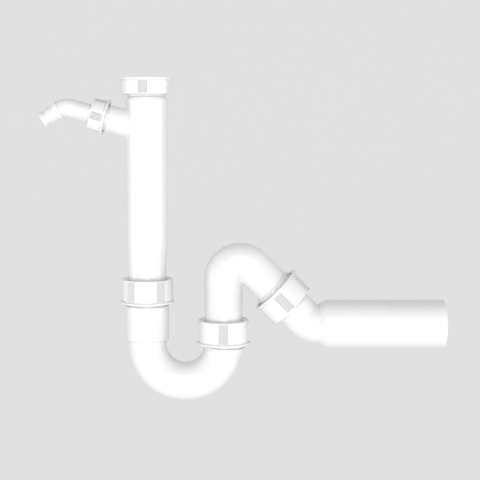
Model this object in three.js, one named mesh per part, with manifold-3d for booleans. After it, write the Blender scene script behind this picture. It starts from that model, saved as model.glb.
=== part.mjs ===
// P trap for a basin or sink: an inlet tube with a branch for an appliance hose, a 180 degree trap bend,
// a 135 degree outlet bend and a level outlet pipe, joined by union nuts with their seals.
// Millimetres, +Z up, +X towards the outlet. The origin is the centre of the inlet nut's mouth.
import * as THREE from "three";
import { mergeVertices } from "three/addons/utils/BufferGeometryUtils.js";
import Module from "manifold-3d";

const wasm = await Module();
wasm.setup();

// Pipework
const PIPE_R = 20; // 40 mm waste pipe
const PIPE_BORE = 18;
const OUTLET_R = 25; // 50 mm outlet pipe
const OUTLET_BORE = 23;
const GAP = 0.3; // between pieces that touch
const SIDES = 24; // facets round a pipe
const BEND_STEP = 15; // degrees of a bend per facet

// Inlet tube and its branch, heights from the mouth of the inlet nut
const TUBE_R = 21.5;
const NECK_R = 19.3; // just under the inlet nut
const TUBE_TAPER_TOP = -172;
const TUBE_TAPER_END = -197;
const TUBE_END = -262;
const BRANCH_Z = -52.8; // where the branch axis meets the tube axis
const BRANCH_TILT = -75; // degrees from +Z towards +X
const STUB_R = 14.3;
const STUB_GROOVE_R = 12.5; // where the stub's thread ends
const STUB_BORE = 11.5;

// Trap bend: the lower U
const LEG_SPACING = 80;
const TRAP_CENTRE_Z = -278.4;
const TRAP_NUT_Z = -235; // mouth plane of the nut on the inlet leg
const TRAP_STEP_Z = -274.8; // where the inlet socket steps down to the pipe
const EXIT_NUT_Z = -278.3; // mouth plane of the nut on the outlet leg
const EXIT_STEP_Z = -285;

// Outlet bend and outlet elbow
const HOOK_R = 17.6; // centreline radius, tighter than the pipe itself
const HOOK_TURN = 135;
const SLANT_OFFSET = -87.3; // the slanted axis is the line x + z = SLANT_OFFSET
const SLANT_NUT_X = 133.9; // centre of the slanted nut's mouth plane
const ELBOW_R = 21;
const OUTLET_AXIS_Z = -257.7;
const CONE_LENGTH = 8.3; // 40 mm to 50 mm
const OUTLET_END_X = 312;

// Compression nut, the same on all three pipe joints, measured from its mouth plane
const NUT_HEIGHT = 25;
const NUT_R = 27.4;
const NUT_FLANGE_R = 28.6;
const NUT_FLANGE = 2.2;
const NUT_ROOF = 3;
const NUT_BORE = 24.4;
const SOCKET_R = 22.6;
const SOCKET_GROOVE_R = 21.3;
const SOCKET_BORE = 20.4;
const SOCKET_RIM = 17.9;
const PIPE_THREAD = { pitch: 4, base: 1, tip: 0.5, stepsPerTurn: 16 };

// Inlet nut, G 1 1/2
const INLET_NUT_HEIGHT = 17;
const INLET_NUT_BORE = 24.2;
const INLET_NUT_ROOF = 2.5;
const INLET_COLLAR_R = 22.2;
const INLET_COLLAR = 2.6; // thickness
const INLET_GASKET = 2.4;
const INLET_THREAD = { pitch: 2.309, base: 0.8, tip: 0.3, stepsPerTurn: 16 };

// Nozzle nut and hose nozzle, distances along the branch axis from the tube axis
const NOZZLE_NUT_AT = 43.4;
const NOZZLE_NUT_HEIGHT = 16;
const NOZZLE_NUT_ROOF = 2.2;
const STUB_RIM = 52;
const NOZZLE_COLLAR = 2.2; // thickness
const NOZZLE_NUT_R = 17.6;
const NOZZLE_NUT_FLANGE_R = 19.5;
const NOZZLE_NUT_BORE = 15.5;
const NOZZLE_THREAD = { pitch: 2.5, base: 0.65, tip: 0.3, stepsPerTurn: 16 };
const NOZZLE_R = 9.7;
const NOZZLE_BORE = 6.3;
const NOZZLE_BEND_AT = 87.9;
const NOZZLE_BEND_R = 14;
const NOZZLE_TURN = -45;
const BARB_LENGTH = 27.4;

const WHITE = { color: 0xf3f3f1, roughness: 0.22, metalness: 0 };
const NATURAL = { color: 0xe4e4de, roughness: 0.4, metalness: 0 };
const RUBBER = { color: 0x1d1d1f, roughness: 0.7, metalness: 0 };

const rad = THREE.MathUtils.degToRad;

// ---- solids -------------------------------------------------------------------------------------

// A closed three.js geometry as a solid that can be joined and cut.
function solid(geometry) {
  const bare = geometry.index ? geometry.toNonIndexed() : geometry.clone();
  bare.deleteAttribute("normal");
  bare.deleteAttribute("uv");
  const merged = mergeVertices(bare, 1e-4);
  const vertProperties = merged.attributes.position.array;
  const triVerts = new Uint32Array(merged.index.array);
  return new wasm.Manifold(new wasm.Mesh({ numProp: 3, vertProperties, triVerts }));
}

function mesh(name, body, finish) {
  const { vertProperties, triVerts } = body.getMesh();
  const geometry = new THREE.BufferGeometry()
    .setAttribute("position", new THREE.BufferAttribute(vertProperties, 3))
    .setIndex(new THREE.BufferAttribute(triVerts, 1));
  geometry.computeVertexNormals();
  const made = new THREE.Mesh(geometry, new THREE.MeshStandardMaterial(finish));
  made.name = name;
  return made;
}

// Revolves [radius, z] points, listed anticlockwise, about Z.
function turned(points, sides = SIDES) {
  const outline = points.map(([r, z]) => new THREE.Vector2(r, z));
  return new THREE.LatheGeometry(outline, sides).rotateX(Math.PI / 2);
}

// The ring between two radii and two heights.
function ring(inner, outer, low, high, sides = SIDES) {
  return turned([[inner, low], [outer, low], [outer, high], [inner, high], [inner, low]], sides);
}

function rod(radius, low, high, sides = SIDES) {
  return turned([[0, low], [radius, low], [radius, high], [0, high]], sides);
}

// Stands a geometry made about Z on the axis that starts at x, z and leans over by tilt degrees.
function standing(geometry, x, z, tilt) {
  return geometry.rotateY(rad(tilt)).translate(x, 0, z);
}

// A route in the XZ plane: stations with a place and a heading, joined by straights and bends.
class Route extends THREE.Curve {
  constructor(x, z, tilt) {
    super();
    this.at = new THREE.Vector3(x, 0, z);
    this.tilt = tilt;
    this.stations = [];
    this.mark();
  }
  heading() {
    return new THREE.Vector3(Math.sin(rad(this.tilt)), 0, Math.cos(rad(this.tilt)));
  }
  side() {
    return new THREE.Vector3(Math.cos(rad(this.tilt)), 0, -Math.sin(rad(this.tilt)));
  }
  mark() {
    this.stations.push({ at: this.at.clone(), tangent: this.heading(), normal: this.side() });
  }
  straight(length) {
    this.at.addScaledVector(this.heading(), length);
    this.mark();
    return this;
  }
  bend(turn, radius) {
    const steps = Math.round(Math.abs(turn) / BEND_STEP);
    const reach = radius * Math.sign(turn);
    for (let i = 0; i < steps; i++) {
      this.at.addScaledVector(this.side(), reach);
      this.tilt += turn / steps;
      this.at.addScaledVector(this.side(), -reach);
      this.mark();
    }
    return this;
  }
  getSpacedPoints() {
    return this.stations.map((s) => s.at);
  }
  computeFrenetFrames() {
    return {
      tangents: this.stations.map((s) => s.tangent),
      normals: this.stations.map((s) => s.normal),
      binormals: this.stations.map(() => new THREE.Vector3(0, 1, 0)),
    };
  }
}

function swept(route, radius, sides = SIDES) {
  const circle = new THREE.Shape();
  for (let i = 0; i < sides; i++) {
    const a = (i / sides) * 2 * Math.PI;
    if (i) circle.lineTo(radius * Math.cos(a), radius * Math.sin(a));
    else circle.moveTo(radius, 0);
  }
  const options = { steps: route.stations.length - 1, extrudePath: route };
  return new THREE.ExtrudeGeometry(circle, options);
}

// A bend tighter than its pipe: the points that pass the bend's axis meet on one crease inside it.
function creased(geometry, centre, tilt, turn) {
  const half = rad(turn / 2);
  const inward = rad(tilt + 90) + half;
  const crease = new THREE.Vector3(Math.sin(inward), 0, Math.cos(inward));
  const reach = 1 / Math.cos(half);
  const place = geometry.attributes.position;
  for (let i = 0; i < place.count; i++) {
    const past = Math.hypot(place.getX(i) - centre.x, place.getZ(i) - centre.z);
    if (past > PIPE_R - HOOK_R + 0.01) continue;
    place.setX(i, centre.x + crease.x * past * reach);
    place.setZ(i, centre.z + crease.z * past * reach);
  }
  return geometry;
}

// A right-hand helix about Z whose section keeps facing the axis.
class Helix extends THREE.Curve {
  constructor(pitch, low, turns, steps) {
    super();
    Object.assign(this, { pitch, low, turns, steps });
  }
  getSpacedPoints() {
    const rise = (this.pitch * this.turns) / this.steps;
    return Array.from({ length: this.steps + 1 }, (_, i) => new THREE.Vector3(0, 0, this.low + i * rise));
  }
  computeFrenetFrames() {
    const turn = (2 * Math.PI * this.turns) / this.steps;
    const each = (make) => Array.from({ length: this.steps + 1 }, (_, i) => make(i * turn));
    return {
      tangents: each((a) => new THREE.Vector3(-Math.sin(a), Math.cos(a), 0)),
      normals: each((a) => new THREE.Vector3(Math.cos(a), Math.sin(a), 0)),
      binormals: each(() => new THREE.Vector3(0, 0, -1)),
    };
  }
}

// One thread ridge from the wall radius to the tip radius; the tip is inside the wall on a female thread.
function thread({ pitch, base, tip, stepsPerTurn }, wall, crest, low, turns) {
  const root = wall + Math.sign(wall - crest) * 0.5;
  const section = new THREE.Shape([
    new THREE.Vector2(root, -base),
    new THREE.Vector2(crest, -tip),
    new THREE.Vector2(crest, tip),
    new THREE.Vector2(root, base),
  ]);
  const steps = Math.round(turns * stepsPerTurn);
  const path = new Helix(pitch, low, turns, steps);
  return solid(new THREE.ExtrudeGeometry(section, { steps, extrudePath: path }));
}

// ---- nuts ---------------------------------------------------------------------------------------

// Grip bands: upright strips with fine grooves cut into a nut's wall, the first at turn degrees.
function gripBands(radius, low, high, { count, width, grooves, depth, turn }) {
  const points = [];
  const edges = 2 * grooves;
  for (let i = 0; i <= edges; i++) {
    const a = rad(width) * (i / edges - 0.5);
    const r = radius - depth * (i % 2 ? 1 : 0.4);
    points.push(new THREE.Vector2(r * Math.cos(a), r * Math.sin(a)));
  }
  for (const side of [0.5, -0.5]) {
    const a = rad(width) * side;
    points.push(new THREE.Vector2((radius + 3) * Math.cos(a), (radius + 3) * Math.sin(a)));
  }
  const options = { depth: high - low, bevelEnabled: false };
  const band = new THREE.ExtrudeGeometry(new THREE.Shape(points.reverse()), options).translate(0, 0, low);
  return Array.from({ length: count }, (_, i) => solid(band.clone().rotateZ(rad(turn + (i * 360) / count))));
}

// A nut with its mouth at z = 0 and a holed roof at the top.
function nut({ radius, flange, bore, exit, height, roof, grip }) {
  const top = radius - 0.6; // draft of the wall
  const outline = [
    [bore, 1],
    [bore + 0.8, 0],
    [flange - 0.4, 0],
    [flange, 0.4],
    [flange, NUT_FLANGE],
    [radius, NUT_FLANGE + 0.4],
    [top, height - 1.2],
    [top - 1.2, height],
    [exit, height],
    [exit, height - roof],
    [bore, height - roof],
    [bore, 1],
  ];
  const body = solid(turned(outline));
  return gripBands(top, NUT_FLANGE + 0.8, height + 1, grip).reduce((a, b) => a.subtract(b), body);
}

const LARGE_GRIP = { count: 5, width: 20, grooves: 3, depth: 0.8 };

function pipeNut(turn) {
  const shape = { radius: NUT_R, flange: NUT_FLANGE_R, bore: NUT_BORE, exit: SOCKET_BORE + 0.1 };
  const body = nut({ ...shape, height: NUT_HEIGHT, roof: NUT_ROOF, grip: { ...LARGE_GRIP, turn } });
  return body.add(thread(PIPE_THREAD, NUT_BORE, 23.3, 4.6, 2));
}

function inletNut() {
  const shape = { radius: 27.3, flange: 28.2, bore: INLET_NUT_BORE, exit: 20.6 };
  const grip = { ...LARGE_GRIP, turn: -14 };
  const body = nut({ ...shape, height: INLET_NUT_HEIGHT, roof: INLET_NUT_ROOF, grip });
  return body.add(thread(INLET_THREAD, INLET_NUT_BORE, 22.8, 1.9, 2.25));
}

function nozzleNut() {
  const shape = { radius: NOZZLE_NUT_R, flange: NOZZLE_NUT_FLANGE_R, bore: NOZZLE_NUT_BORE, exit: 10.6 };
  const grip = { count: 5, width: 26, grooves: 3, depth: 0.7, turn: 52 };
  const body = nut({ ...shape, height: NOZZLE_NUT_HEIGHT, roof: NOZZLE_NUT_ROOF, grip });
  return body.add(thread(NOZZLE_THREAD, NOZZLE_NUT_BORE, 14.6, 2.35, 2));
}

// ---- seals --------------------------------------------------------------------------------------

function coneSeal() {
  const inner = PIPE_R + GAP;
  const lip = SOCKET_RIM + GAP;
  return solid(turned([
    [inner, lip - 3],
    [inner + 0.3, lip - 3],
    [inner + 1.3, lip - GAP],
    [inner + 1.3, lip],
    [inner + 2, lip],
    [inner + 2, lip + 2],
    [inner, lip + 2],
    [inner, lip - 3],
  ]));
}

function slipWasher() {
  const low = SOCKET_RIM + 2 * GAP + 2;
  return solid(ring(PIPE_R + 0.4, 22.7, low, NUT_HEIGHT - NUT_ROOF - GAP));
}

// The threaded socket that a pipe nut screws onto, in the nut's frame, with a groove where its thread ends.
function socket(foot) {
  const wall = solid(turned([
    [0, foot],
    [PIPE_R, foot],
    [SOCKET_R, foot + 1.5],
    [SOCKET_R, -2.9],
    [SOCKET_GROOVE_R, -2.3],
    [SOCKET_GROOVE_R, 0.4],
    [SOCKET_R, 1.2],
    [SOCKET_R, SOCKET_RIM - 0.6],
    [SOCKET_R - 0.5, SOCKET_RIM],
    [0, SOCKET_RIM],
  ]));
  return wall.add(thread(PIPE_THREAD, SOCKET_R, 23.9, 2.6, 2.5));
}

// What is bored out of a socket, down to the stop that the pipe meets.
function socketBore(stop) {
  return solid(turned([
    [0, stop],
    [SOCKET_BORE, stop],
    [SOCKET_BORE, SOCKET_RIM - 4],
    [21.9, SOCKET_RIM],
    [21.9, SOCKET_RIM + 1],
    [0, SOCKET_RIM + 1],
  ]));
}

// ---- pipes --------------------------------------------------------------------------------------

// Moves a solid made in a joint's frame to where that joint is.
function moved(body, { x, z, tilt }) {
  const matrix = new THREE.Matrix4().makeRotationY(rad(tilt)).setPosition(x, 0, z);
  return body.transform(matrix.elements);
}

const INLET = { x: 0, z: 0, tilt: 180 };
const BRANCH = { x: 0, z: BRANCH_Z, tilt: BRANCH_TILT };
const TRAP_IN = { x: 0, z: TRAP_NUT_Z, tilt: 0 };
const TRAP_OUT = { x: LEG_SPACING, z: EXIT_NUT_Z, tilt: 0 };
const SLANT = { x: SLANT_NUT_X, z: SLANT_OFFSET - SLANT_NUT_X, tilt: HOOK_TURN };

function inletTube() {
  const collar = -INLET_NUT_HEIGHT + INLET_NUT_ROOF + GAP;
  const outside = solid(turned([
    [0, TUBE_END],
    [PIPE_R - 0.8, TUBE_END],
    [PIPE_R, TUBE_END + 1.5],
    [PIPE_R, TUBE_TAPER_END],
    [TUBE_R, TUBE_TAPER_TOP],
    [TUBE_R, -23],
    [TUBE_R - 1, -20.4],
    [NECK_R, -19.6],
    [NECK_R, collar],
    [INLET_COLLAR_R, collar],
    [INLET_COLLAR_R, collar + INLET_COLLAR],
    [0, collar + INLET_COLLAR],
  ]));
  const stub = solid(turned([
    [0, 5],
    [STUB_R, 5],
    [STUB_R, NOZZLE_NUT_AT - 3],
    [STUB_GROOVE_R, NOZZLE_NUT_AT - 2.6],
    [STUB_GROOVE_R, NOZZLE_NUT_AT - 0.2],
    [STUB_R - 0.5, NOZZLE_NUT_AT + 0.3],
    [STUB_R - 0.5, STUB_RIM - 0.4],
    [STUB_R - 0.9, STUB_RIM],
    [0, STUB_RIM],
  ]));
  const ridge = thread(NOZZLE_THREAD, STUB_R - 0.5, 14.9, NOZZLE_NUT_AT + 1.1, 2.25);
  const branch = moved(stub.add(ridge).subtract(solid(rod(STUB_BORE, 10, STUB_RIM + 1))), BRANCH);
  const opening = moved(solid(rod(STUB_BORE, 4, 30)), BRANCH);
  return outside.add(branch).subtract(opening).subtract(solid(rod(PIPE_BORE, TUBE_END - 1, 0)));
}

function trapBend() {
  const stopIn = -273;
  const stopOut = -276;
  const route = (radius) => {
    const path = new Route(0, -240, 180).straight(-TRAP_CENTRE_Z - 240);
    return solid(swept(path.bend(-180, LEG_SPACING / 2).straight(10), radius));
  };
  const left = moved(socket(TRAP_STEP_Z - TRAP_NUT_Z), TRAP_IN);
  const right = moved(socket(EXIT_STEP_Z - EXIT_NUT_Z), TRAP_OUT);
  return route(PIPE_R)
    .add(left)
    .add(right)
    .subtract(route(PIPE_BORE))
    .subtract(moved(socketBore(stopIn - TRAP_NUT_Z), TRAP_IN))
    .subtract(moved(socketBore(stopOut - EXIT_NUT_Z), TRAP_OUT));
}

function hookBend() {
  const foot = -272.5; // end of the upright leg, inside the trap bend's socket
  const centre = { x: LEG_SPACING + HOOK_R };
  centre.z = SLANT_OFFSET - centre.x - HOOK_R * Math.SQRT2;
  const bendEnd = centre.x + HOOK_R * Math.SQRT1_2;
  const slanted = (SLANT_NUT_X - bendEnd) * Math.SQRT2;
  const route = (radius, extra) => {
    const path = new Route(LEG_SPACING, foot - extra, 0).straight(centre.z - foot + extra);
    path.bend(HOOK_TURN, HOOK_R).straight(slanted + 2);
    return solid(creased(swept(path, radius), centre, 0, HOOK_TURN));
  };
  return route(PIPE_R, 0)
    .add(moved(socket(-5), SLANT))
    .subtract(route(PIPE_BORE, 1))
    .subtract(moved(socketBore(1.5), SLANT));
}

function outletElbow() {
  const corner = { x: SLANT_OFFSET - OUTLET_AXIS_Z, z: OUTLET_AXIS_Z };
  const tangent = ELBOW_R * Math.tan(rad(45 / 2));
  const spigotFoot = 4.5; // from the slanted nut's mouth plane, inside the socket
  const reach = (corner.x - SLANT_NUT_X) * Math.SQRT2 - tangent;
  const start = new THREE.Vector3(SLANT.x, 0, SLANT.z).add(
    new THREE.Vector3(Math.SQRT1_2, 0, -Math.SQRT1_2).multiplyScalar(spigotFoot),
  );
  const route = (radius, extra) => {
    const back = extra * Math.SQRT1_2;
    const path = new Route(start.x - back, start.z + back, HOOK_TURN).straight(reach - spigotFoot + extra);
    return solid(swept(path.bend(-45, ELBOW_R).straight(4), radius));
  };
  const coneStart = corner.x + tangent;
  const coneEnd = coneStart + CONE_LENGTH;
  const pipe = turned([
    [0, coneStart],
    [PIPE_R, coneStart],
    [OUTLET_R, coneEnd],
    [OUTLET_R, OUTLET_END_X - 0.8],
    [OUTLET_R - 0.8, OUTLET_END_X],
    [0, OUTLET_END_X],
  ]);
  const bore = turned([
    [0, coneStart],
    [PIPE_BORE, coneStart],
    [OUTLET_BORE, coneEnd],
    [OUTLET_BORE, OUTLET_END_X + 1],
    [0, OUTLET_END_X + 1],
  ]);
  return route(PIPE_R, 0)
    .add(solid(standing(pipe, 0, OUTLET_AXIS_Z, 90)))
    .subtract(route(PIPE_BORE, 1))
    .subtract(solid(standing(bore, 0, OUTLET_AXIS_Z, 90)));
}

function hoseNozzle() {
  const collar = NOZZLE_NUT_AT + NOZZLE_NUT_HEIGHT - NOZZLE_NUT_ROOF - GAP; // outer face of the collar
  const rings = Array.from({ length: 4 }, (_, i) => collar + 5.2 + 3.2 * i);
  const face = collar - NOZZLE_COLLAR;
  const stem = [[0, face], [13.6, face], [13.6, collar], [NOZZLE_R - 0.4, collar]];
  for (const at of rings) {
    stem.push([NOZZLE_R - 0.4, at], [NOZZLE_R + 0.3, at + 0.4], [NOZZLE_R + 0.3, at + 1.4]);
    stem.push([NOZZLE_R - 0.4, at + 1.8]);
  }
  const tangent = NOZZLE_BEND_R * Math.tan(rad(-NOZZLE_TURN / 2));
  stem.push([NOZZLE_R - 0.4, NOZZLE_BEND_AT - tangent - 3], [0, NOZZLE_BEND_AT - tangent - 3]);
  const corner = new THREE.Vector3(0, 0, BRANCH_Z).addScaledVector(
    new THREE.Vector3(Math.sin(rad(BRANCH_TILT)), 0, Math.cos(rad(BRANCH_TILT))),
    NOZZLE_BEND_AT,
  );
  const barbs = [[0, 5], [NOZZLE_R, 5], [NOZZLE_R, 6], [10.8, 6.3]];
  barbs.push([8, 13], [8.4, 17], [8.4, 18.4], [7.2, 21.2], [7.2, 22.4], [8.7, 25.2], [8.7, 26.6]);
  barbs.push([8, BARB_LENGTH], [0, BARB_LENGTH]);
  const route = (radius, from, to) => {
    const path = new Route(
      Math.sin(rad(BRANCH_TILT)) * from,
      BRANCH_Z + Math.cos(rad(BRANCH_TILT)) * from,
      BRANCH_TILT,
    ).straight(NOZZLE_BEND_AT - tangent - from);
    return solid(swept(path.bend(NOZZLE_TURN, NOZZLE_BEND_R).straight(to - tangent), radius, 18));
  };
  return route(NOZZLE_R, NOZZLE_BEND_AT - tangent - 5, 5.6)
    .add(solid(standing(turned(stem, 20), BRANCH.x, BRANCH.z, BRANCH_TILT)))
    .add(solid(standing(turned(barbs, 20), corner.x, corner.z, BRANCH_TILT + NOZZLE_TURN)))
    .subtract(route(NOZZLE_BORE, collar - 4, BARB_LENGTH + 1));
}

// ---- assembly -----------------------------------------------------------------------------------

// A group whose +Z runs along a joint's axis.
function jointGroup({ x, z, tilt }, ...children) {
  const group = new THREE.Group();
  group.position.set(x, 0, z);
  group.rotation.y = rad(tilt);
  return group.add(...children);
}

// The nut, slip washer and cone seal of one pipe joint, with the nut's grip bands at their own angle.
function pipeJoint(prefix, frame, turn) {
  return jointGroup(
    frame,
    mesh(prefix + "_nut", pipeNut(turn), WHITE),
    mesh(prefix + "_slip_washer", slipWasher(), NATURAL),
    mesh(prefix + "_cone_seal", coneSeal(), RUBBER),
  );
}

const trap = new THREE.Group();
trap.name = "p_trap";
const gasketFloor = INLET_NUT_HEIGHT - INLET_NUT_ROOF - GAP - INLET_COLLAR - GAP; // down from the mouth
const inletGasket = solid(ring(PIPE_BORE + GAP, 22, gasketFloor - INLET_GASKET, gasketFloor));
const nozzleGasket = solid(ring(8, 13.4, STUB_RIM + GAP, STUB_RIM + 2.3));
trap.add(
  mesh("inlet_tube", inletTube(), WHITE),
  jointGroup(
    INLET,
    mesh("inlet_nut", inletNut(), WHITE),
    mesh("inlet_gasket", inletGasket, RUBBER),
  ),
  jointGroup(
    BRANCH,
    mesh("nozzle_gasket", nozzleGasket, RUBBER),
    mesh("nozzle_nut", nozzleNut().translate([0, 0, NOZZLE_NUT_AT]), WHITE),
  ),
  mesh("hose_nozzle", hoseNozzle(), WHITE),
  mesh("trap_bend", trapBend(), WHITE),
  mesh("hook_bend", hookBend(), WHITE),
  mesh("outlet_elbow", outletElbow(), WHITE),
  pipeJoint("trap_inlet", TRAP_IN, 19),
  pipeJoint("trap_outlet", TRAP_OUT, 54.5),
  pipeJoint("outlet", SLANT, -16),
);

export default trap;
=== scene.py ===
"""P trap with a hose branch, for Blender 4.5: moulded plastic pieces that ride on the CAD frame.

Lengths are millimetres here and become metres as each mesh is made. Every piece stands for one CAD node.
"""

import math
from typing import NamedTuple

import bmesh
import bpy
import numpy as np
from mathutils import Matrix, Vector


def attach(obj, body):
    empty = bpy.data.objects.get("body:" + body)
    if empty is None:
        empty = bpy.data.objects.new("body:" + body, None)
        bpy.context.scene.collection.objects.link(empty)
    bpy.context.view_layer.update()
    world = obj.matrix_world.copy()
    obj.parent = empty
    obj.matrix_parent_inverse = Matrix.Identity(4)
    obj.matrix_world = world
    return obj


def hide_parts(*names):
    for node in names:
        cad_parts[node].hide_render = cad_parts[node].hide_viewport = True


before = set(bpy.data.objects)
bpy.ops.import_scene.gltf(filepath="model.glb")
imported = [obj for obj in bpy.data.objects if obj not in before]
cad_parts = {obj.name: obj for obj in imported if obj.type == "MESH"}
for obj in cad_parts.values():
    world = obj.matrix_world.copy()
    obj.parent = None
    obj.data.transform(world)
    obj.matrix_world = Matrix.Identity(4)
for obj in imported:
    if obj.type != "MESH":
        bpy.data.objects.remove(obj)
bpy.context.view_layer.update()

MM = 0.001
Y = np.array([0.0, 1.0, 0.0])

# Pipework
PIPE_R, PIPE_BORE = 20.0, 18.0
OUTLET_R, OUTLET_BORE = 25.0, 23.0
GAP = 0.3

# Inlet tube and branch
TUBE_R = 21.5
TUBE_TAPER_TOP, TUBE_TAPER_END, TUBE_END = -172.0, -197.0, -262.0
NECK_R = 19.3  # just under the inlet nut
COLLAR_R, COLLAR = 22.2, 2.6  # the inlet tube's collar and its thickness
STUB_R, STUB_BORE, STUB_RIM = 14.3, 11.5, 52.0
STUB_THREAD_R, STUB_GROOVE_R = 13.8, 12.5  # the wall under the thread, and the groove where it ends

# Trap bend
LEG_SPACING = 80.0
TRAP_CENTRE_Z = -278.4
TRAP_STEP_Z = -274.8
TRAP_INLET_STOP, TRAP_OUTLET_STOP = -38.0, 2.3  # what a pipe meets in its socket, from the nut's mouth plane

# Outlet bend and elbow
HOOK_R, HOOK_TURN, HOOK_FOOT_Z = 17.6, 135.0, -272.5
HOOK_CROTCH, ELBOW_CROTCH = 0.8, 4.0  # how softly a tight bend's inside is creased
CREASE_REACH = 18.0  # how far along a pipe its crease can move the wall
SLANT_OFFSET = -87.3
ELBOW_R, OUTLET_AXIS_Z, CONE_LENGTH, OUTLET_END_X = 21.0, -257.7, 8.3, 312.0
SPIGOT_FOOT = 4.5  # from the slanted nut's mouth plane, inside the socket

# A pipe socket, from the nut's mouth plane
SOCKET_R, SOCKET_BORE, SOCKET_RIM = 22.6, 20.4, 17.9
SOCKET_GROOVE_R, SOCKET_SEAT_R = 21.3, 21.9
WASHER_R, WASHER_BORE, SEAL_HEAD = 22.7, 20.4, 2.0

# Hose nozzle and its nut, distances along the branch axis
NOZZLE_R, NOZZLE_BORE, NOZZLE_BEND_R = 9.7, 6.3, 14.0
NOZZLE_COLLAR_R, NOZZLE_COLLAR = 13.6, 2.2
NOZZLE_NUT_AT, NOZZLE_BEND_AT, BARB_LENGTH = 43.4, 87.9, 27.4
STEM_RINGS, STEM_RING_START, STEM_RING_PITCH = 4, 5.2, 3.2
GASKET_TOP = 2.3  # above the stub's rim

# Grip bands on every nut
BANDS = 5
BAND_PITCH = 360 / BANDS
BAND_FOOT, BAND_HEAD = 3.6, 1.25  # above the mouth, and below the closed end
BAND_DEPTH = 1.0

# Joint frames: the point, in the XZ plane, and the tilt of the axis from +Z towards +X
INLET = (0.0, 0.0, 180.0)
BRANCH = (0.0, -52.8, -75.0)
TRAP_IN = (0.0, -235.0, 0.0)
TRAP_OUT = (LEG_SPACING, -278.3, 0.0)
SLANT = (133.9, SLANT_OFFSET - 133.9, HOOK_TURN)

SIDES = 96  # round a pipe
FILLET_STEPS = 4


class Thread(NamedTuple):
    """A thread ridge's section: its pitch, and half its width at the wall and at the crest."""

    pitch: float
    base: float
    tip: float


PIPE_THREAD = Thread(4.0, 1.0, 0.5)
INLET_THREAD = Thread(2.309, 0.8, 0.3)
NOZZLE_THREAD = Thread(2.5, 0.65, 0.3)


class Nut(NamedTuple):
    """A union nut's sizes, with heights from its mouth plane."""

    height: float
    roof: float
    radius: float
    flange: float
    bore: float
    hole: float
    thread: Thread
    crest: float
    thread_low: float
    thread_turns: float
    band_width: float  # degrees
    ribs: int


PIPE_NUT = Nut(25.0, 3.0, 27.4, 28.6, 24.4, SOCKET_BORE + 0.1, PIPE_THREAD, 23.3, 4.6, 2, 20.0, 5)
INLET_NUT = Nut(17.0, 2.5, 27.3, 28.2, 24.2, 20.6, INLET_THREAD, 22.8, 1.9, 2.25, 20.0, 5)
NOZZLE_NUT = Nut(16.0, 2.2, 17.6, 19.5, 15.5, 10.6, NOZZLE_THREAD, 14.6, 2.35, 2, 26.0, 4)


def heading(tilt):
    a = math.radians(tilt)
    return np.array([math.sin(a), 0.0, math.cos(a)])


def across(tilt):
    a = math.radians(tilt)
    return np.array([math.cos(a), 0.0, -math.sin(a)])


def place(points, joint):
    """Points in a joint's own frame, moved to where the joint is."""
    x, z, tilt = joint
    p = np.asarray(points, float)
    return (
        np.array([x, 0.0, z])
        + p[..., 0:1] * across(tilt)
        + p[..., 1:2] * Y
        + p[..., 2:3] * heading(tilt)
    )


# ---- outlines -------------------------------------------------------------------------------------


def rounded(corners, fillet=0.4, closed=True):
    """Corners (a, b, fillet, more...) as an outline whose corners are small arcs; more is carried along."""
    full = []
    for c in corners:
        c = list(c)
        if len(c) < 3 or c[2] is None:
            c[2:3] = [fillet]
        full.append(c)
    width = max(len(c) for c in full)
    full = np.array([c + [0.0] * (width - len(c)) for c in full], float)
    keep = [0, 1] + list(range(3, width))
    out = []
    for i, c in enumerate(full):
        p = c[keep]
        last = not closed and i in (0, len(full) - 1)
        if last or c[2] <= 0:
            out.append(p)
            continue
        before, after = full[i - 1][keep], full[(i + 1) % len(full)][keep]
        u, v = before[:2] - p[:2], after[:2] - p[:2]
        lu, lv = np.linalg.norm(u), np.linalg.norm(v)
        bend = math.acos(np.clip(u @ v / (lu * lv), -1, 1))
        t = min(c[2] / math.tan(bend / 2), 0.45 * lu, 0.45 * lv)
        a, b = p + (before - p) * (t / lu), p + (after - p) * (t / lv)
        for s in np.linspace(0, 1, FILLET_STEPS + 1):
            out.append((1 - s) ** 2 * a + 2 * s * (1 - s) * p + s * s * b)
    return np.array(out)


# ---- shells ---------------------------------------------------------------------------------------
# A shell is (points, faces): one closed surface, in millimetres.


def rolled(rings):
    """Rings of the same number of points, each joined to the next and the last to the first."""
    n, m = len(rings), len(rings[0])
    i, j = np.meshgrid(np.arange(n), np.arange(m), indexing="ij")
    k, l = (i + 1) % n, (j + 1) % m
    faces = np.stack([i * m + j, i * m + l, k * m + l, k * m + j], -1).reshape(-1, 4)
    return np.concatenate(rings), faces.tolist()


def lathe(outline, joint, angles=None, relief=None):
    """Revolves an outline of (r, z, share) about a joint's axis, with relief(angle) * share cut off r."""
    if angles is None:
        angles = np.linspace(0, 2 * math.pi, SIDES, endpoint=False)
    cut = np.zeros(len(angles)) if relief is None else relief(angles)
    rings = []
    for r, z, *share in outline:
        reach = r - cut * (share[0] if share else 0)
        height = np.full(len(angles), z)
        rings.append(np.stack([reach * np.cos(angles), reach * np.sin(angles), height], -1))
    return rolled([place(r, joint) for r in rings])


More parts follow.
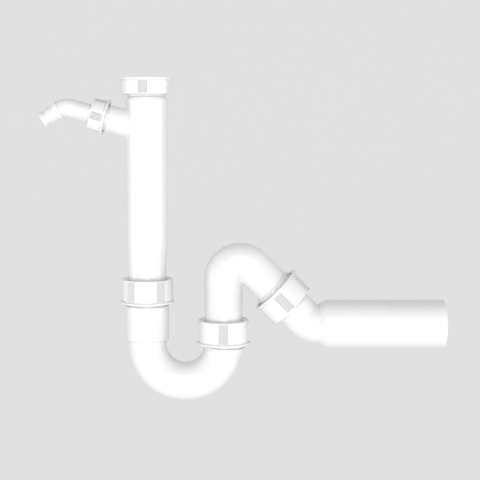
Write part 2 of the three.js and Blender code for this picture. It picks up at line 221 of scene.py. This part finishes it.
def ridge(thread, wall, crest, low, turns, joint):
    """A right-hand thread ridge on a wall, fading out at both ends; the crest may be inside or outside."""
    steps = round(turns * 60)
    a = np.linspace(0, 2 * math.pi * turns, steps + 1)
    fade = np.clip(np.minimum(a, a[::-1]) / math.radians(35), 0.04, 1)
    root = np.full(len(a), wall + math.copysign(0.5, wall - crest))
    top = wall + (crest - wall) * fade
    z = low + thread.pitch * a / (2 * math.pi)
    lines = [(root, -thread.base), (top, -thread.tip), (top, thread.tip), (root, thread.base)]
    section = np.stack([np.stack([r * np.cos(a), r * np.sin(a), z + dz], -1) for r, dz in lines], 1)
    points = place(section.reshape(-1, 3), joint)
    faces = []
    for i in range(steps):
        for j in range(4):
            k = (j + 1) % 4
            faces.append([4 * i + j, 4 * i + k, 4 * i + 4 + k, 4 * i + 4 + j])
    faces += [[3, 2, 1, 0], [4 * steps + j for j in range(4)]]
    return points, faces


class Bend:
    """A pipe's centreline in the XZ plane: a straight that ends at a point, one bend, another straight.

    Inside a bend that is tighter than the pipe, the lines along the pipe meet on a rounded crotch.
    """

    def __init__(self, x, z, tilt, turn, radius, crotch=0.0):
        self.start = np.array([x, 0.0, z])
        self.tilt, self.turn, self.radius, self.crotch = tilt, turn, radius, crotch
        self.length = radius * math.radians(abs(turn))
        self.hand = math.copysign(1, turn)
        self.centre = self.start + self.inward(0) * radius
        self.end = self.centre - self.inward(turn) * radius

    def inward(self, turned):
        return across(self.tilt + turned) * self.hand

    def ring(self, s, r, sides=SIDES):
        """The ring of radius r at s along the centreline; s is 0 where the bend starts."""
        angles = np.linspace(0, 2 * math.pi, sides, endpoint=False)
        x, y = r * np.cos(angles), r * np.sin(angles)
        rho = self.radius - x
        shift = np.zeros_like(x)
        half = math.radians(abs(self.turn) / 2)
        if self.crotch:
            soft = (rho + self.crotch + np.hypot(rho - self.crotch, self.crotch)) / 2
            shift = (soft - rho) / math.cos(half)
            rho = soft
        early = shift * math.sin(half)
        share = np.clip((s + early) / (self.length + 2 * early), 0, 1)
        turned = np.radians(self.tilt + self.turn * share)
        inward = np.stack([np.cos(turned), np.zeros_like(turned), -np.sin(turned)], -1) * self.hand
        middle = self.inward(0) + self.inward(self.turn)
        size = np.linalg.norm(middle)
        if size > 1e-6:
            middle = middle / size
        p = self.centre + shift[:, None] * middle - rho[:, None] * inward + y[:, None] * Y
        before = np.minimum(s + early, 0)
        after = np.maximum(s - self.length - early, 0)
        return p + before[:, None] * heading(self.tilt) + after[:, None] * heading(self.tilt + self.turn)

    def tube(self, outline, sides=SIDES, step=1.8):
        """A closed outline of (r, s) points swept round the centreline, with more rings in the bend."""
        reach = CREASE_REACH if self.crotch else 0
        rings = []
        for i, (r, s) in enumerate(outline):
            r2, s2 = outline[(i + 1) % len(outline)]
            lo, hi = max(min(s, s2), -reach), min(max(s, s2), self.length + reach)
            cuts = [0.0]
            if hi > lo:
                inner = np.linspace(lo, hi, 2 + int((hi - lo) / step))
                cuts += [(q - s) / (s2 - s) for q in inner if abs(q - s) > 0.05 and abs(q - s2) > 0.05]
            for c in sorted(cuts):
                rings.append(self.ring(s + (s2 - s) * c, r + (r2 - r) * c, sides))
        return rolled(rings)


def object_of(name, points, faces):
    """A shell as an object that isn't in the scene, with outward faces."""
    data = bpy.data.meshes.new(name)
    data.from_pydata((np.asarray(points) * MM).tolist(), [], faces)
    tidy = bmesh.new()
    tidy.from_mesh(data)
    bmesh.ops.recalc_face_normals(tidy, faces=tidy.faces)
    tidy.to_mesh(data)
    tidy.free()
    return bpy.data.objects.new(name, data)


def mesh_of(name, shells):
    """Shells joined into one closed mesh."""
    objects = [object_of(name, *shell) for shell in shells]
    first = objects[0]
    if len(objects) == 1:
        data = first.data
        bpy.data.objects.remove(first)
        return data
    for o in objects:
        bpy.context.scene.collection.objects.link(o)
    for o in objects[1:]:
        join = first.modifiers.new("join", "BOOLEAN")
        join.operation, join.solver, join.object = "UNION", "MANIFOLD", o
    seen = first.evaluated_get(bpy.context.evaluated_depsgraph_get())
    joined = bpy.data.meshes.new_from_object(seen)
    for o in objects:
        bpy.data.objects.remove(o)
    return joined


def piece(name, node, body, slot, material, *shells):
    """One piece of the object: its mesh, smooth normals, material, body and the node it replaces; the slot
    argument is not used.
    """
    data = mesh_of(name, shells)
    data.materials.clear()
    data.materials.append(material)
    data.shade_smooth()
    data.set_sharp_from_angle(angle=math.radians(38))
    made = bpy.data.objects.new(name, data)
    bpy.context.scene.collection.objects.link(made)
    normals = made.modifiers.new("normals", "WEIGHTED_NORMAL")
    normals.keep_sharp = True
    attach(made, body)
    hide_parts(node)
    return made


# ---- materials ------------------------------------------------------------------------------------


class Nodes:
    """A material's node tree with short ways to add to it."""

    def __init__(self, name):
        self.material = bpy.data.materials.new(name)
        self.material.use_nodes = True
        self.tree = self.material.node_tree
        self.shader = self.tree.nodes["Principled BSDF"]
        self.place = self.add("ShaderNodeTexCoord").outputs["Object"]

    def add(self, kind, **settings):
        made = self.tree.nodes.new(kind)
        for key, value in settings.items():
            setattr(made, key, value)
        return made

    def link(self, out, into):
        self.tree.links.new(out, into)

    def noise(self, scale, detail=3.0, rough=0.5, stretch=None):
        made = self.add("ShaderNodeTexNoise")
        made.inputs["Scale"].default_value = scale
        made.inputs["Detail"].default_value = detail
        made.inputs["Roughness"].default_value = rough
        source = self.place
        if stretch:
            mapping = self.add("ShaderNodeMapping")
            mapping.inputs["Scale"].default_value = stretch
            self.link(source, mapping.inputs["Vector"])
            source = mapping.outputs["Vector"]
        self.link(source, made.inputs["Vector"])
        return made.outputs["Fac"]

    def spread(self, value, low, high, start=0.3, stop=0.7):
        made = self.add("ShaderNodeMapRange")
        for key, number in zip(("From Min", "From Max", "To Min", "To Max"), (start, stop, low, high)):
            made.inputs[key].default_value = number
        self.link(value, made.inputs["Value"])
        return made.outputs["Result"]

    def blend(self, value, first, second):
        """One colour becoming another; each is a colour or an output."""
        made = self.tree.nodes.new("ShaderNodeMix")
        made.data_type = "RGBA"
        for socket, colour in zip(("A_Color", "B_Color"), (first, second)):
            into = next(i for i in made.inputs if i.identifier == socket)
            if isinstance(colour, tuple):
                into.default_value = (*colour, 1)
            else:
                self.link(colour, into)
        self.link(value, next(i for i in made.inputs if i.identifier == "Factor_Float"))
        return next(o for o in made.outputs if o.identifier == "Result_Color")

    def mix(self, value, first, second):
        """An output becoming a number."""
        made = self.add("ShaderNodeMix", data_type="FLOAT")
        self.link(value, made.inputs["Factor"])
        self.link(first, made.inputs["A"])
        made.inputs["B"].default_value = second
        return made.outputs["Result"]

    def bump(self, *layers):
        """Layers of (height, strength, distance in millimetres), one over the other."""
        below = None
        for height, strength, distance in layers:
            made = self.add("ShaderNodeBump")
            made.inputs["Strength"].default_value = strength
            made.inputs["Distance"].default_value = distance * MM
            self.link(height, made.inputs["Height"])
            if below:
                self.link(below, made.inputs["Normal"])
            below = made.outputs["Normal"]
        self.link(below, self.shader.inputs["Normal"])


GRIP_ROUGHNESS = 0.62


def plastic(name, light, dark, rough, scuffed, ior=1.49, grip_painted_shade=None):
    """Moulded plastic: faint cloudiness, a slightly uneven skin, and fine handling scuffs in the gloss.

    Faces marked grip, a nut's finely ribbed bands, are matt and take a darker grey: painted shade that stands
    in for the shade between the ribs.
    """
    n = Nodes(name)
    clouds = n.noise(38, 4)
    colour = n.blend(n.spread(clouds, 0, 1), dark, light)
    peel = n.noise(150, 2)
    skin = n.noise(900, 2)
    scuffs = n.noise(260, 5, 0.7, stretch=(1, 1, 0.12))
    gloss = n.spread(scuffs, rough, scuffed, 0.56, 0.72)
    # painted shade: faces marked grip get a darker base colour for the shade between their ribs, and a matt
    # roughness
    if grip_painted_shade:
        grip_shade_and_matt_mask = n.add("ShaderNodeAttribute", attribute_type="GEOMETRY", attribute_name="grip")
        marked = grip_shade_and_matt_mask.outputs["Fac"]
        colour = n.blend(marked, colour, grip_painted_shade)
        gloss = n.mix(marked, gloss, GRIP_ROUGHNESS)
    n.link(colour, n.shader.inputs["Base Color"])
    n.link(gloss, n.shader.inputs["Roughness"])
    n.bump((peel, 0.12, 0.25), (skin, 0.10, 0.05))
    n.shader.inputs["IOR"].default_value = ior
    return n.material


def rubber(name):
    """Black moulded rubber with a fine matt grain and a paler bloom."""
    n = Nodes(name)
    bloom = n.noise(220, 5, 0.65)
    n.link(n.blend(n.spread(bloom, 0, 1, 0.35, 0.75), (0.016, 0.016, 0.017), (0.045, 0.045, 0.047)),
           n.shader.inputs["Base Color"])
    grain = n.noise(2600, 3)
    n.link(n.spread(n.noise(90), 0.55, 0.75), n.shader.inputs["Roughness"])
    n.bump((grain, 0.35, 0.06))
    return n.material


# the 0.63 grey on the grip bands is painted shade for their ribbed recesses
WHITE = plastic("white_polypropylene", (0.785, 0.785, 0.782), (0.765, 0.765, 0.761), 0.24, 0.36,
                grip_painted_shade=(0.63, 0.63, 0.63))
NATURAL = plastic("natural_polythene", (0.80, 0.80, 0.755), (0.74, 0.74, 0.69), 0.42, 0.55, ior=1.51)
RUBBER = rubber("black_rubber")


def moulded(name, body, *shells):
    return piece(name + "_moulding", name, body, "white_plastic", WHITE, *shells)


# ---- nuts -----------------------------------------------------------------------------------------


def grip(nut, turn):
    """Angles round a nut, and the depth cut at an angle: sunk bands of fine upright ribs, evenly spaced."""
    width = nut.band_width
    edge = math.degrees(0.12 / nut.radius)
    crest = 0.15 * BAND_DEPTH
    stops = [(-width / 2 - edge, 0.0), (-width / 2, BAND_DEPTH)]
    pitch = width / nut.ribs
    for i in range(nut.ribs):
        at = (i - (nut.ribs - 1) / 2) * pitch
        stops += [(at - 0.32 * pitch, BAND_DEPTH), (at - 0.10 * pitch, crest)]
        stops += [(at + 0.10 * pitch, crest), (at + 0.32 * pitch, BAND_DEPTH)]
    stops += [(width / 2, BAND_DEPTH), (width / 2 + edge, 0.0)]
    centres = [turn + k * BAND_PITCH for k in range(BANDS)]
    ribbed = [(c + a, d) for c in centres for a, d in stops]
    plain = []
    for c in centres:
        between = np.linspace(c + stops[-1][0], c + BAND_PITCH + stops[0][0], 14)[1:-1]
        plain += [(a, 0.0) for a in between]
    table = np.array(sorted((a % 360, d) for a, d in ribbed + plain))
    angles, cuts = np.radians(table[:, 0]), table[:, 1]
    return angles, lambda a: np.interp(a, angles, cuts, period=2 * math.pi)


def nut_shells(nut, joint, turn):
    """A union nut, mouth at z = 0: its wall, with sunk grip bands between flange and roof, and its thread."""
    rim = nut.radius - 0.5
    undercut = nut.radius - 0.7
    wall = nut.radius - 0.1
    ledge = nut.height - 0.9  # the sunk middle of the closed end
    outline = rounded([
        (nut.bore, 1.0, 0.2),
        (nut.bore + 0.8, 0.0, 0.2),
        (nut.flange, 0.0, 0.5),
        (nut.flange, 1.9, 0.5),
        (undercut, 2.2, 0.15),
        (undercut, 2.8, 0.15),
        (wall, 3.3, 0.2),
        (wall, BAND_FOOT, 0.1, 1.0),
        (rim, nut.height - BAND_HEAD, 0.1, 1.0),
        (rim, nut.height - 1.1, 0.1),
        (rim, nut.height, 0.6),
        (rim - 2.2, nut.height, 0.4),
        (rim - 2.6, ledge, 0.3),
        (nut.hole, ledge, 0.3),
        (nut.hole, nut.height - nut.roof, 0.3),
        (nut.bore, nut.height - nut.roof, 0.5),
    ])
    angles, relief = grip(nut, turn)
    inside = ridge(nut.thread, nut.bore, nut.crest, nut.thread_low, nut.thread_turns, joint)
    return lathe(outline, joint, angles, relief), inside


def mark_grip(made, nut, joint, turn):
    """Marks the faces of a nut's grip bands, where the material paints shade and makes the surface matt."""
    data = made.data
    x, z, tilt = joint
    marked = data.attributes.new("grip", "FLOAT", "FACE")
    for face in data.polygons:
        p = np.array(face.center) / MM - [x, 0.0, z]
        high = p @ heading(tilt)
        out = (p @ across(tilt), p[1])
        angle = math.degrees(math.atan2(out[1], out[0])) - turn
        off = (angle + BAND_PITCH / 2) % BAND_PITCH - BAND_PITCH / 2  # from the middle of the nearest band
        within = abs(off) < nut.band_width / 2 and BAND_FOOT - 0.1 < high < nut.height - BAND_HEAD + 0.05
        marked.data[face.index].value = float(within and math.hypot(*out) > nut.radius - 1.9)


def union_nut(name, nut, joint, turn):
    made = moulded(name, name, *nut_shells(nut, joint, turn))
    mark_grip(made, nut, joint, turn)


# ---- seals ----------------------------------------------------------------------------------------


def cone_seal(joint):
    inner, lip = PIPE_R + GAP, SOCKET_RIM + GAP
    outer, head = inner + 1.3, inner + 2.0  # the seal where its cone ends, and its head
    return lathe(rounded([
        (inner, lip - 3, 0.1),
        (inner + 0.3, lip - 3, 0.1),
        (outer, lip - GAP, 0.1),
        (outer, lip, 0.1),
        (head, lip, 0.2),
        (head, lip + SEAL_HEAD, 0.35),
        (inner, lip + SEAL_HEAD, 0.25),
    ]), joint)


def flat_ring(inner, outer, low, high, joint, fillet):
    corners = [(inner, low), (outer, low), (outer, high), (inner, high)]
    return lathe(rounded(corners, fillet), joint)


def pipe_joint(prefix, joint, turn):
    """The nut, slip washer and cone seal of one pipe joint, on the bodies that carry them."""
    union_nut(prefix + "_nut", PIPE_NUT, joint, turn)
    low = SOCKET_RIM + 2 * GAP + SEAL_HEAD
    high = PIPE_NUT.height - PIPE_NUT.roof - GAP
    ring = flat_ring(WASHER_BORE, WASHER_R, low, high, joint, 0.3)
    piece(
        prefix + "_slip_ring", prefix + "_slip_washer", prefix + "_washer", "natural_plastic", NATURAL, ring)
    seal = cone_seal(joint)
    piece(prefix + "_cone_ring", prefix + "_cone_seal", prefix + "_seal", "black_rubber", RUBBER, seal)


# ---- inlet tube -----------------------------------------------------------------------------------

COLUMNS = 128  # round the inlet tube
PATCH_HALF = 24  # columns each side of the branch that its patch takes
PATCH_ROWS = np.linspace(-28.0, -72.0, 25)
SPOKES = 6  # rings from a patch's edge to the foot of the branch
ARC_RINGS = 6  # rings in the fillet between tube and branch
OUTER_FILLET, INNER_FILLET = 3.0, 0.8
BRANCH_AXIS = heading(BRANCH[2])
BRANCH_SIDE = across(BRANCH[2])
BRANCH_FOOT = np.array([BRANCH[0], 0.0, BRANCH[1]])


def on_branch(along, radius, angle):
    """The point at an angle round the branch's axis: 0 points along Y."""
    out = np.cos(angle)[..., None] * Y + np.sin(angle)[..., None] * -BRANCH_SIDE
    return BRANCH_FOOT + np.asarray(along)[..., None] * BRANCH_AXIS + radius * out


def meets_tube(radius, angle, tube_r):
    """How far along the branch's axis its cylinder of one radius passes through the tube's surface."""
    q = on_branch(np.zeros_like(angle), radius, angle)
    a = BRANCH_AXIS[0] ** 2
    b = 2 * q[:, 0] * BRANCH_AXIS[0]
    c = q[:, 0] ** 2 + q[:, 1] ** 2 - tube_r**2
    return (-b + np.sqrt(b * b - 4 * a * c)) / (2 * a)


def patch_edge():
    """The patch's edge, once round: its cells as (column, row), and each one's turn, z and branch angle."""
    first, last = COLUMNS // 2 - PATCH_HALF, COLUMNS // 2 + PATCH_HALF
    cells = [(c, 0) for c in range(first, last)]
    cells += [(last, r) for r in range(len(PATCH_ROWS) - 1)]
    cells += [(c, len(PATCH_ROWS) - 1) for c in range(last, first, -1)]
    cells += [(first, r) for r in range(len(PATCH_ROWS) - 1, 0, -1)]
    turn = np.array([2 * math.pi * c / COLUMNS for c, _ in cells])
    z = np.array([PATCH_ROWS[r] for _, r in cells])
    p = np.stack([TUBE_R * np.cos(turn), TUBE_R * np.sin(turn), z], -1) - BRANCH_FOOT
    return cells, turn, z, np.arctan2(p @ -BRANCH_SIDE, p @ Y)


def tube_outline():
    """The tube's outline, and for its outside and inside the number of the ring at a patch row."""
    collar = -INLET_NUT.height + INLET_NUT.roof + GAP
    outside = rounded([
        (PIPE_R - 0.8, TUBE_END, 0.3),
        (PIPE_R, TUBE_END + 1.5, 0.6),
        (PIPE_R, TUBE_TAPER_END, 60),
        (TUBE_R, TUBE_TAPER_TOP, 60),
        (TUBE_R, -110.0, 0),
        (TUBE_R, PATCH_ROWS[-1], 0),
    ], closed=False)
    top = rounded([
        (TUBE_R, PATCH_ROWS[0], 0),
        (TUBE_R, -23.0, 3),
        (TUBE_R - 1.0, -20.4, 1.0),
        (NECK_R, -19.6, 0.6),
        (NECK_R, collar, 0.4),
        (COLLAR_R, collar, 0.4),
        (COLLAR_R, collar + COLLAR, 0.4),
        (PIPE_BORE, collar + COLLAR, 0.4),
        (PIPE_BORE, PATCH_ROWS[0], 0),
    ], closed=False)
    outer_rows = [(TUBE_R, z) for z in PATCH_ROWS[::-1][1:-1]]
    inner_rows = [(PIPE_BORE, z) for z in PATCH_ROWS[1:]]
    foot = rounded([(PIPE_BORE, -190.0), (PIPE_BORE, TUBE_END, 0.4), (PIPE_R - 0.8, TUBE_END)], closed=False)
    bottom = [(PIPE_BORE, -110.0), (PIPE_BORE, -190.0), *foot[1:-1]]
    lowest_outer = len(outside) - 1
    highest_inner = len(outside) + len(outer_rows) + len(top) - 1
    outer_ring = [lowest_outer + len(PATCH_ROWS) - 1 - row for row in range(len(PATCH_ROWS))]
    inner_ring = [highest_inner + row for row in range(len(PATCH_ROWS))]
    return [*outside, *outer_rows, *top, *inner_rows, *bottom], outer_ring, inner_ring


def without_patch(faces, rings):
    """The tube's faces, with those of the patch whose rows are at these rings made blank."""
    faces = list(faces)
    for row in range(len(PATCH_ROWS) - 1):
        low = min(rings[row], rings[row + 1]) * COLUMNS
        for c in range(COLUMNS // 2 - PATCH_HALF, COLUMNS // 2 + PATCH_HALF):
            faces[low + c] = None
    return faces


def branch_patch(tube_r, hole_r, fillet, turn, z, angle):
    """Rings from a patch's edge over the tube and up the fillet, and where the fillet ends on the branch."""
    rim = on_branch(meets_tube(hole_r + fillet, angle, tube_r), hole_r + fillet, angle)
    rim_turn = np.arctan2(rim[:, 1], rim[:, 0]) % (2 * math.pi)
    rings = []
    for k in range(1, SPOKES + 1):
        s = 1 - (1 - k / SPOKES) ** 1.3
        t, h = turn + (rim_turn - turn) * s, z + (rim[:, 2] - z) * s
        rings.append(np.stack([tube_r * np.cos(t), tube_r * np.sin(t), h], -1))
    normal = rim * [1, 1, 0] / tube_r
    base = on_branch(np.zeros_like(angle), hole_r, angle)
    knee_at = ((rim - base) * normal).sum(-1) / (normal @ BRANCH_AXIS)
    knee = on_branch(knee_at, hole_r, angle)
    out = on_branch(knee_at + fillet, hole_r, angle)
    for s in np.linspace(0, 1, ARC_RINGS + 1)[1:]:
        rings.append((1 - s) ** 2 * rim + 2 * s * (1 - s) * knee + s * s * out)
    return rings, knee_at + fillet


def stub_outline():
    """The branch's stub from its side to its bore, in (r, distance along the branch)."""
    return rounded([
        (STUB_R, 20.0),
        (STUB_R, NOZZLE_NUT_AT - 3, 0.3),
        (STUB_GROOVE_R, NOZZLE_NUT_AT - 2.6, 0.2),
        (STUB_GROOVE_R, NOZZLE_NUT_AT + 0.2, 0.2),
        (STUB_THREAD_R, NOZZLE_NUT_AT + 0.8, 0.2),
        (STUB_THREAD_R, STUB_RIM, 0.4),
        (STUB_BORE, STUB_RIM, 0.4),
        (STUB_BORE, 27.0),
    ], closed=False)[1:-1]


def inlet_tube():
    """The tube with its branch: rings inside and out, and a patch on each that flows into the branch."""
    outline, outer_ring, inner_ring = tube_outline()
    points, faces = lathe(outline, (0, 0, 0), np.linspace(0, 2 * math.pi, COLUMNS, endpoint=False))
    faces = [f for f in without_patch(without_patch(faces, outer_ring), inner_ring) if f]

    cells, turn, z, angle = patch_edge()
    outer, outer_at = branch_patch(TUBE_R, STUB_R, OUTER_FILLET, turn, z, angle)
    outer += [on_branch(outer_at + (36.0 - outer_at) * s, STUB_R, angle) for s in (0.35, 0.7)]
    outer += [on_branch(np.full_like(angle, s), r, angle) for r, s in stub_outline()]
    inner, inner_at = branch_patch(PIPE_BORE, STUB_BORE, INNER_FILLET, turn, z, angle)
    inner += [on_branch(inner_at + (STUB_RIM - 6 - inner_at) * s, STUB_BORE, angle) for s in (0.33, 0.66)]

    rings = outer + inner[::-1]
    n = len(cells)
    first = len(points)
    loops = [[outer_ring[row] * COLUMNS + c for c, row in cells]]
    loops += [range(first + i * n, first + (i + 1) * n) for i in range(len(rings))]
    loops.append([inner_ring[row] * COLUMNS + c for c, row in cells])
    for a, b in zip(loops, loops[1:]):
        faces += [[a[j], a[(j + 1) % n], b[(j + 1) % n], b[j]] for j in range(n)]
    return np.concatenate([points, *rings]), faces


# ---- bends and pipes ------------------------------------------------------------------------------


def socket_mouth(foot, stop, at, hand, step=1.5):
    """The outline of a threaded socket in (r, s), outside first, with a groove where the thread ends."""
    def s(local):
        return at + hand * local
    return [
        (PIPE_R, s(foot), 0.5),
        (SOCKET_R, s(foot + step), 0.5),
        (SOCKET_R, s(-2.9), 0.3),
        (SOCKET_GROOVE_R, s(-2.3), 0.3),
        (SOCKET_GROOVE_R, s(0.4), 0.3),
        (SOCKET_R, s(1.2), 0.3),
        (SOCKET_R, s(SOCKET_RIM), 0.5),
        (SOCKET_SEAT_R, s(SOCKET_RIM), 0.2),
        (SOCKET_BORE, s(SOCKET_RIM - 4), 0.6),
        (SOCKET_BORE, s(stop), 0.3),
        (PIPE_BORE, s(stop), 0.3),
    ]


def socket_thread(joint):
    return ridge(PIPE_THREAD, SOCKET_R, 23.9, 2.6, 2.5, joint)


def pipe_foot(at):
    """The outline of a pipe's lower end, in (r, s)."""
    return [(PIPE_BORE, at, 0.4), (PIPE_R - 0.6, at, 0.3), (PIPE_R, at + 1.5, 0.6)]


def trap_bend():
    """The 180 degree bend, with a socket on each end."""
    bend = Bend(0, TRAP_CENTRE_Z, 180, -180, LEG_SPACING / 2)
    left_at = TRAP_CENTRE_Z - TRAP_IN[1]  # the nut's mouth plane, along the centreline
    right_at = bend.length + TRAP_OUT[1] - TRAP_CENTRE_Z
    left = socket_mouth(TRAP_STEP_Z - TRAP_IN[1], TRAP_INLET_STOP, left_at, -1)
    right = socket_mouth(-9.5, TRAP_OUTLET_STOP, right_at, 1, step=5.5)
    outline = rounded(left[::-1] + right)
    return bend.tube(outline), socket_thread(TRAP_IN), socket_thread(TRAP_OUT)


def hook_bend():
    """The outlet bend: its upright leg, and the slanted end with a socket."""
    centre_x = LEG_SPACING + HOOK_R
    centre_z = SLANT_OFFSET - centre_x - HOOK_R * math.sqrt(2)
    bend = Bend(LEG_SPACING, centre_z, 0, HOOK_TURN, HOOK_R, crotch=HOOK_CROTCH)
    mouth = bend.length + (SLANT[0] - bend.end[0]) * math.sqrt(2)
    outline = rounded(pipe_foot(HOOK_FOOT_Z - centre_z) + socket_mouth(-5, 1.5, mouth, 1))
    return bend.tube(outline), socket_thread(SLANT)


def outlet_elbow():
    """The slanted spigot, its bend, the cone and the level outlet pipe."""
    corner_x = SLANT_OFFSET - OUTLET_AXIS_Z
    tangent = ELBOW_R * math.tan(math.radians(22.5))
    start = np.array([corner_x, 0, OUTLET_AXIS_Z]) - heading(HOOK_TURN) * tangent
    bend = Bend(start[0], start[2], HOOK_TURN, -45, ELBOW_R, crotch=ELBOW_CROTCH)
    foot = SPIGOT_FOOT - (start[0] - SLANT[0]) * math.sqrt(2)
    cone = bend.length
    end = bend.length + OUTLET_END_X - (corner_x + tangent)
    outline = rounded([
        *pipe_foot(foot),
        (PIPE_R, cone, 1.2),
        (OUTLET_R, cone + CONE_LENGTH, 0.5),
        (OUTLET_R, end, 0.7),
        (OUTLET_BORE, end, 0.5),
        (OUTLET_BORE, cone + CONE_LENGTH, 2.5),
        (PIPE_BORE, cone, 2.5),
    ])
    return bend.tube(outline)


def nozzle_stem(collar, bend_start):
    """The outline of the nozzle's collar and ringed stem, in (r, distance along the branch)."""
    low, high = NOZZLE_R - 0.4, NOZZLE_R + 0.15
    outline = [
        (NOZZLE_BORE, collar - NOZZLE_COLLAR, 0.3),
        (NOZZLE_COLLAR_R, collar - NOZZLE_COLLAR, 0.3),
        (NOZZLE_COLLAR_R, collar, 0.3),
        (low, collar, 0.5),
    ]
    for i in range(STEM_RINGS):
        at = collar + STEM_RING_START + STEM_RING_PITCH * i
        outline += [(low, at, 0.3), (high, at + 0.5, 0.3), (high, at + 1.3, 0.3), (low, at + 1.8, 0.3)]
    return outline + [(low, bend_start - 5.4, 0.2), (NOZZLE_R, bend_start - 5.0, 0.2)]


def nozzle_barbs():
    """The outline of the nozzle's crest, shoulder, lip and tip, in (r, distance past the bend's corner)."""
    root = NOZZLE_R - 0.5
    return [
        (root, 5.7, 0.1),
        (root, 6.1, 0.1),
        (10.9, 6.4, 0.4),
        (8.0, 13.0, 1.5),
        (8.4, 17.0, 1.0),
        (8.4, 18.4, 0.8),
        (7.2, 21.2, 1.0),
        (7.2, 22.4, 1.0),
        (8.7, 25.2, 0.8),
        (8.7, 26.6, 0.6),
        (8.0, BARB_LENGTH, 0.4),
        (NOZZLE_BORE, BARB_LENGTH, 0.4),
    ]


def hose_nozzle():
    tangent = NOZZLE_BEND_R * math.tan(math.radians(22.5))
    bend_start = NOZZLE_BEND_AT - tangent
    start = BRANCH_FOOT + BRANCH_AXIS * bend_start
    bend = Bend(start[0], start[2], BRANCH[2], -45, NOZZLE_BEND_R)
    collar = NOZZLE_NUT_AT + NOZZLE_NUT.height - NOZZLE_NUT.roof - GAP
    outline = [(r, at - bend_start, f) for r, at, f in nozzle_stem(collar, bend_start)]
    outline += [(r, at - tangent + bend.length, f) for r, at, f in nozzle_barbs()]
    return bend.tube(rounded(outline), sides=72, step=1.0)


# ---- the pieces -----------------------------------------------------------------------------------

stub_thread = ridge(NOZZLE_THREAD, STUB_THREAD_R, 14.9, NOZZLE_NUT_AT + 1.1, 2.25, BRANCH)
moulded("inlet_tube", "inlet", inlet_tube(), stub_thread)
union_nut("inlet_nut", INLET_NUT, INLET, -14)
gasket_floor = INLET_NUT.height - INLET_NUT.roof - 2 * GAP - COLLAR
gasket = flat_ring(PIPE_BORE + GAP, 22.0, gasket_floor - 2.4, gasket_floor, INLET, 0.25)
piece("inlet_gasket_ring", "inlet_gasket", "inlet", "black_rubber", RUBBER, gasket)

nut_foot = BRANCH_FOOT + BRANCH_AXIS * NOZZLE_NUT_AT
union_nut("nozzle_nut", NOZZLE_NUT, (nut_foot[0], nut_foot[2], BRANCH[2]), 52)
gasket = flat_ring(8, 13.4, STUB_RIM + GAP, STUB_RIM + GASKET_TOP, BRANCH, 0.25)
piece("nozzle_gasket_ring", "nozzle_gasket", "nozzle_gasket", "black_rubber", RUBBER, gasket)
moulded("hose_nozzle", "hose_nozzle", hose_nozzle())

moulded("trap_bend", "trap_bend", *trap_bend())
moulded("hook_bend", "hook_bend", *hook_bend())
moulded("outlet_elbow", "outlet_elbow", outlet_elbow())
pipe_joint("trap_inlet", TRAP_IN, 19)
pipe_joint("trap_outlet", TRAP_OUT, 54.5)
pipe_joint("outlet", SLANT, -16)


# ---- stage ----------------------------------------------------------------------------------------

BACKDROP = 0.745  # linear grey of the plain pale surroundings
GLOW = 0.98  # how strongly the surroundings light themselves
FLOOR_Z = -1.5
WALL_START, WALL_CURVE, WALL_TOP = 2.0, 1.5, 6.0  # metres behind the object, and up
WORLD_GREY, WORLD_STRENGTH = 0.8, 0.54
MIDDLE = (0.10, 0.0, -0.17)
LOOK_DOWN = 3.15  # degrees


def backdrop():
    """A pale floor that curves up behind the object into a plain wall, evenly lit."""
    n = Nodes("pale_floor")
    n.shader.inputs["Base Color"].default_value = (0.03, 0.03, 0.03, 1)
    n.shader.inputs["Roughness"].default_value = 0.9
    n.shader.inputs["Specular IOR Level"].default_value = 0.0
    n.shader.inputs["Emission Color"].default_value = (BACKDROP, BACKDROP, BACKDROP, 1)
    n.shader.inputs["Emission Strength"].default_value = GLOW
    section = [(-6.0, FLOOR_Z), (WALL_START, FLOOR_Z)]
    for a in np.linspace(0, math.pi / 2, 17)[1:]:
        section.append((WALL_START + WALL_CURVE * math.sin(a), FLOOR_Z + WALL_CURVE * (1 - math.cos(a))))
    section.append((WALL_START + WALL_CURVE, WALL_TOP))
    points = [(x, y, z) for y, z in section for x in (-8.0, 8.0)]
    faces = [(2 * i, 2 * i + 1, 2 * i + 3, 2 * i + 2) for i in range(len(section) - 1)]
    data = bpy.data.meshes.new("floor")
    data.from_pydata(points, [], faces)
    data.materials.append(n.material)
    data.shade_smooth()
    made = bpy.data.objects.new("floor", data)
    bpy.context.scene.collection.objects.link(made)


def softbox(name, at, size, power):
    """A rectangular light that faces the middle of the object."""
    data = bpy.data.lights.new(name, "AREA")
    data.shape, data.size, data.size_y, data.energy = "RECTANGLE", size[0], size[1], power
    made = bpy.data.objects.new(name, data)
    made.location = at
    made.rotation_euler = (Vector(MIDDLE) - Vector(at)).to_track_quat("-Z", "Y").to_euler()
    bpy.context.scene.collection.objects.link(made)


backdrop()
softbox("high", (0.05, -2.0, 0.85), (0.5, 0.5), 17)
softbox("low", (0.1, -2.1, -0.95), (1.2, 0.8), 26)
softbox("left", (-2.1, -0.3, -0.15), (0.8, 0.8), 7)
softbox("right", (2.3, -0.3, -0.15), (0.8, 0.8), 9)
world = bpy.data.worlds.new("studio")
world.use_nodes = True
background = world.node_tree.nodes["Background"].inputs
background["Color"].default_value = (WORLD_GREY, WORLD_GREY, WORLD_GREY, 1)
background["Strength"].default_value = WORLD_STRENGTH
bpy.context.scene.world = world

camera = bpy.data.cameras.new("camera")
camera.lens, camera.sensor_width = 84.0, 36.0
camera.shift_y = -0.105
camera.clip_start, camera.clip_end = 0.01, 50.0
view = bpy.data.objects.new("camera", camera)
view.location = (0.0974, -1.17, -0.052)
view.rotation_euler = (math.radians(90 - LOOK_DOWN), 0.0, 0.0)
bpy.context.scene.collection.objects.link(view)
bpy.context.scene.camera = view
bpy.context.scene.view_settings.view_transform = "Standard"
